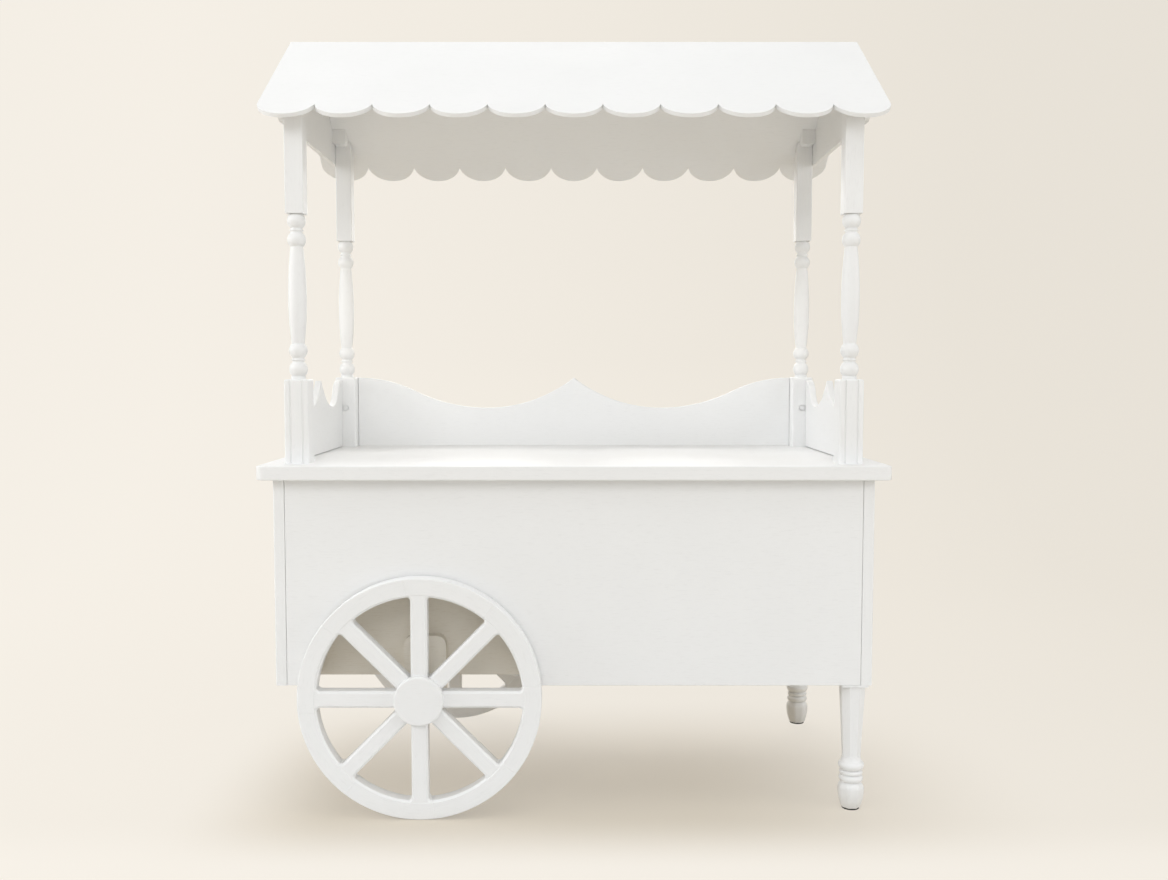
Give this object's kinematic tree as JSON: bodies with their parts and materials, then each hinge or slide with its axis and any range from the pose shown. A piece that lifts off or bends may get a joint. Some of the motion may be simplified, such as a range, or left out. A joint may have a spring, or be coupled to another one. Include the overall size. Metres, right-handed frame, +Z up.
{
  "type": "candy cart",
  "caption": "White wooden candy cart: a counter on a closed box, spoked wheels at one end and turned legs at the other, and a gabled roof with scalloped eaves on turned posts.",
  "frame": {"origin": "on the floor, under the middle of the whole cart", "axes": "+Z up, +X along the cart towards the legs, -Y towards the open front of the counter"},
  "size_m": [1.516, 0.876, 1.9523],
  "materials": {
    "painted_wood": "white satin paint",
    "bare_wood": "planed, unpainted",
    "plated_steel": "zinc plated",
    "bronze": "plain turned",
    "painted_metal": "white satin paint",
    "black_rubber": "matt moulded"
  },
  "bodies": {
    "cart": {"axle_nuts": "plated_steel", "axle_rod": "plated_steel", "axle_washers": "plated_steel", "back_left_plinth": "painted_wood", "back_left_post": "painted_wood", "back_left_roof_cleat": "painted_wood", "back_leg": "painted_wood", "back_panel": "painted_wood", "back_rail": "painted_wood", "back_right_plinth": "painted_wood", "back_right_post": "painted_wood", "back_right_roof_cleat": "painted_wood", "back_roof_board": "painted_wood", "bottom_board": "painted_wood", "cleat_screws": "painted_metal", "corner_posts": "bare_wood", "counter_battens": "bare_wood", "counter_screws": "plated_steel", "counter_top": "painted_wood", "foot_glides": "black_rubber", "front_axle_hanger": "painted_wood", "front_left_plinth": "painted_wood", "front_left_post": "painted_wood", "front_left_roof_cleat": "painted_wood", "front_leg": "painted_wood", "front_panel": "painted_wood", "front_right_plinth": "painted_wood", "front_right_post": "painted_wood", "front_right_roof_cleat": "painted_wood", "front_roof_board": "painted_wood", "front_well_liner": "painted_wood", "front_well_wall": "painted_wood", "gable_screws": "painted_metal", "hanger_bolts": "plated_steel", "left_end_panel": "painted_wood", "left_gable": "painted_wood", "left_side_rail": "painted_wood", "leg_bolts": "plated_steel", "leg_plate_screws": "plated_steel", "leg_plates": "painted_metal", "plinth_bolts": "plated_steel", "post_lock_bolts": "painted_metal", "rail_dowels": "bare_wood", "rear_axle_hanger": "painted_wood", "rear_well_liner": "painted_wood", "rear_well_wall": "painted_wood", "ridge_batten": "painted_wood", "right_end_panel": "painted_wood", "right_gable": "painted_wood", "right_side_rail": "painted_wood"},
    "front_wheel": {"front_hub_cap": "painted_wood", "front_wheel_bush": "bronze", "front_wheel_felloes": "painted_wood", "front_wheel_hub": "painted_wood", "front_wheel_spokes": "painted_wood"},
    "rear_wheel": {"rear_hub_cap": "painted_wood", "rear_wheel_bush": "bronze", "rear_wheel_felloes": "painted_wood", "rear_wheel_hub": "painted_wood", "rear_wheel_spokes": "painted_wood"}
  },
  "joints": [
    {"name": "front_wheel_spin", "type": "hinge", "parent": "cart", "child": "front_wheel", "pos_m": [-0.37, -0.401, 0.293], "axis": [0, 1, 0], "continuous": true},
    {"name": "rear_wheel_spin", "type": "hinge", "parent": "cart", "child": "rear_wheel", "pos_m": [-0.37, 0.401, 0.293], "axis": [0, 1, 0], "continuous": true}
  ]
}
